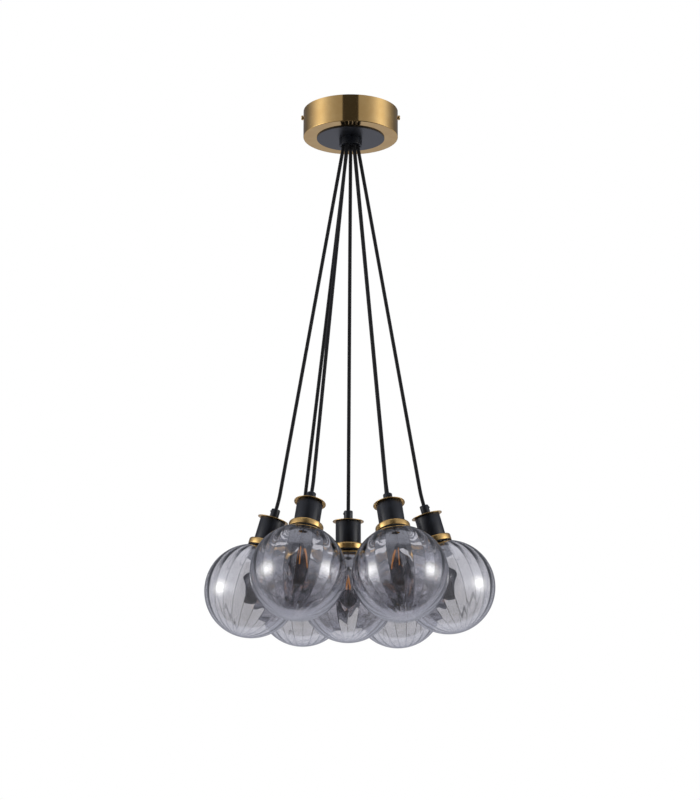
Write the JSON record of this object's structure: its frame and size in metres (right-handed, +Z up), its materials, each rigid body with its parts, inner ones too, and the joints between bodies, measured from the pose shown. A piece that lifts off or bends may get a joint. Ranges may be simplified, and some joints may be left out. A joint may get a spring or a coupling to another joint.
{
  "type": "cluster pendant light",
  "caption": "Cluster pendant: ribbed smoked-glass globes on black flexes under a round brass canopy, lampholders and candle bulbs inside.",
  "frame": {"origin": "middle of the canopy's top rim, on the ceiling face", "axes": "+Z up to the ceiling, +X to the right and -Y towards the viewer of the picture"},
  "size_m": [0.4632, 0.4212, 0.8956],
  "materials": {
    "satin_brass": "brushed satin brass",
    "screw_brass": "turned brass",
    "black_metal": "black satin lacquer",
    "black_plastic": "moulded black plastic",
    "zinc_steel": "zinc plated",
    "white_plastic": "moulded white nylon",
    "cord_sheath": "smooth black flex",
    "smoked_glass": "smoked mirror tint, ribbed inside",
    "bulb_glass": "clear glass with amber filaments"
  },
  "bodies": {
    "root": {"canopy_cover": "satin_brass", "ceiling_bracket": "zinc_steel", "canopy_disc": "black_metal", "cord_hub": "black_metal", "hub_nut": "zinc_steel", "cord_locks": "white_plastic", "cord_tails": "cord_sheath", "terminal_block": "white_plastic", "earth_screw": "screw_brass"},
    "pendant_centre": {"cord_centre": "cord_sheath", "cord_grip_centre": "black_plastic", "cap_disc_centre": "satin_brass", "lampholder_centre": "black_metal", "shade_ring_centre": "satin_brass"},
    "globe_centre": {"globe_centre": "smoked_glass"},
    "bulb_centre": {"bulb_centre": "bulb_glass"},
    "pendant_right": {"cord_right": "cord_sheath", "cord_grip_right": "black_plastic", "cap_disc_right": "satin_brass", "lampholder_right": "black_metal", "shade_ring_right": "satin_brass"},
    "globe_right": {"globe_right": "smoked_glass"},
    "bulb_right": {"bulb_right": "bulb_glass"},
    "pendant_back_right": {"cord_back_right": "cord_sheath", "cord_grip_back_right": "black_plastic", "cap_disc_back_right": "satin_brass", "lampholder_back_right": "black_metal", "shade_ring_back_right": "satin_brass"},
    "globe_back_right": {"globe_back_right": "smoked_glass"},
    "bulb_back_right": {"bulb_back_right": "bulb_glass"},
    "pendant_back_left": {"cord_back_left": "cord_sheath", "cord_grip_back_left": "black_plastic", "cap_disc_back_left": "satin_brass", "lampholder_back_left": "black_metal", "shade_ring_back_left": "satin_brass"},
    "globe_back_left": {"globe_back_left": "smoked_glass"},
    "bulb_back_left": {"bulb_back_left": "bulb_glass"},
    "pendant_left": {"cord_left": "cord_sheath", "cord_grip_left": "black_plastic", "cap_disc_left": "satin_brass", "lampholder_left": "black_metal", "shade_ring_left": "satin_brass"},
    "globe_left": {"globe_left": "smoked_glass"},
    "bulb_left": {"bulb_left": "bulb_glass"},
    "pendant_front_left": {"cord_front_left": "cord_sheath", "cord_grip_front_left": "black_plastic", "cap_disc_front_left": "satin_brass", "lampholder_front_left": "black_metal", "shade_ring_front_left": "satin_brass"},
    "globe_front_left": {"globe_front_left": "smoked_glass"},
    "bulb_front_left": {"bulb_front_left": "bulb_glass"},
    "pendant_front_right": {"cord_front_right": "cord_sheath", "cord_grip_front_right": "black_plastic", "cap_disc_front_right": "satin_brass", "lampholder_front_right": "black_metal", "shade_ring_front_right": "satin_brass"},
    "globe_front_right": {"globe_front_right": "smoked_glass"},
    "bulb_front_right": {"bulb_front_right": "bulb_glass"},
    "side_screw_left": {"side_screw_left": "screw_brass"},
    "side_screw_right": {"side_screw_right": "screw_brass"}
  },
  "joints": [
    {"name": "turn_centre", "type": "hinge", "parent": "root", "child": "pendant_centre", "pos_m": [0, 0, -0.0599], "axis": [0, 0, 1], "range_deg": [-180, 180]},
    {"name": "release_globe_centre", "type": "slide", "parent": "pendant_centre", "child": "globe_centre", "axis": [0, 0, -1], "range_m": [0, 0.14]},
    {"name": "unscrew_bulb_centre", "type": "slide", "parent": "pendant_centre", "child": "bulb_centre", "axis": [0, 0, -1], "range_m": [0, 0.022]},
    {"name": "swing_right", "type": "hinge", "parent": "root", "child": "pendant_right", "pos_m": [0.0115, 0, -0.0599], "axis": [0, -1, 0], "range_deg": [0, 26]},
    {"name": "release_globe_right", "type": "slide", "parent": "pendant_right", "child": "globe_right", "axis": [0.2773, 0, -0.9608], "range_m": [0, 0.14]},
    {"name": "unscrew_bulb_right", "type": "slide", "parent": "pendant_right", "child": "bulb_right", "axis": [0.2773, 0, -0.9608], "range_m": [0, 0.022]},
    {"name": "swing_back_right", "type": "hinge", "parent": "root", "child": "pendant_back_right", "pos_m": [0.00575, 0.00996, -0.0599], "axis": [0.866, -0.5, 0], "range_deg": [0, 26]},
    {"name": "release_globe_back_right", "type": "slide", "parent": "pendant_back_right", "child": "globe_back_right", "axis": [0.1084, 0.2553, -0.9608], "range_m": [0, 0.14]},
    {"name": "unscrew_bulb_back_right", "type": "slide", "parent": "pendant_back_right", "child": "bulb_back_right", "axis": [0.1084, 0.2553, -0.9608], "range_m": [0, 0.022]},
    {"name": "swing_back_left", "type": "hinge", "parent": "root", "child": "pendant_back_left", "pos_m": [-0.00575, 0.00996, -0.0599], "axis": [0.866, 0.5, 0], "range_deg": [0, 26]},
    {"name": "release_globe_back_left", "type": "slide", "parent": "pendant_back_left", "child": "globe_back_left", "axis": [-0.0097, 0.2771, -0.9608], "range_m": [0, 0.14]},
    {"name": "unscrew_bulb_back_left", "type": "slide", "parent": "pendant_back_left", "child": "bulb_back_left", "axis": [-0.0097, 0.2771, -0.9608], "range_m": [0, 0.022]},
    {"name": "swing_left", "type": "hinge", "parent": "root", "child": "pendant_left", "pos_m": [-0.0115, 0, -0.0599], "axis": [0, 1, 0], "range_deg": [0, 26]},
    {"name": "release_globe_left", "type": "slide", "parent": "pendant_left", "child": "globe_left", "axis": [-0.2773, 0, -0.9608], "range_m": [0, 0.14]},
    {"name": "unscrew_bulb_left", "type": "slide", "parent": "pendant_left", "child": "bulb_left", "axis": [-0.2773, 0, -0.9608], "range_m": [0, 0.022]},
    {"name": "swing_front_left", "type": "hinge", "parent": "root", "child": "pendant_front_left", "pos_m": [-0.00575, -0.00996, -0.0599], "axis": [-0.866, 0.5, 0], "range_deg": [0, 26]},
    {"name": "release_globe_front_left", "type": "slide", "parent": "pendant_front_left", "child": "globe_front_left", "axis": [-0.1387, -0.2402, -0.9608], "range_m": [0, 0.14]},
    {"name": "unscrew_bulb_front_left", "type": "slide", "parent": "pendant_front_left", "child": "bulb_front_left", "axis": [-0.1387, -0.2402, -0.9608], "range_m": [0, 0.022]},
    {"name": "swing_front_right", "type": "hinge", "parent": "root", "child": "pendant_front_right", "pos_m": [0.00575, -0.00996, -0.0599], "axis": [-0.866, -0.5, 0], "range_deg": [0, 26]},
    {"name": "release_globe_front_right", "type": "slide", "parent": "pendant_front_right", "child": "globe_front_right", "axis": [0.1387, -0.2402, -0.9608], "range_m": [0, 0.14]},
    {"name": "unscrew_bulb_front_right", "type": "slide", "parent": "pendant_front_right", "child": "bulb_front_right", "axis": [0.1387, -0.2402, -0.9608], "range_m": [0, 0.022]},
    {"name": "withdraw_screw_left", "type": "slide", "parent": "root", "child": "side_screw_left", "axis": [-1, 0, 0], "range_m": [0, 0.009]},
    {"name": "withdraw_screw_right", "type": "slide", "parent": "root", "child": "side_screw_right", "axis": [1, 0, 0], "range_m": [0, 0.009]}
  ]
}
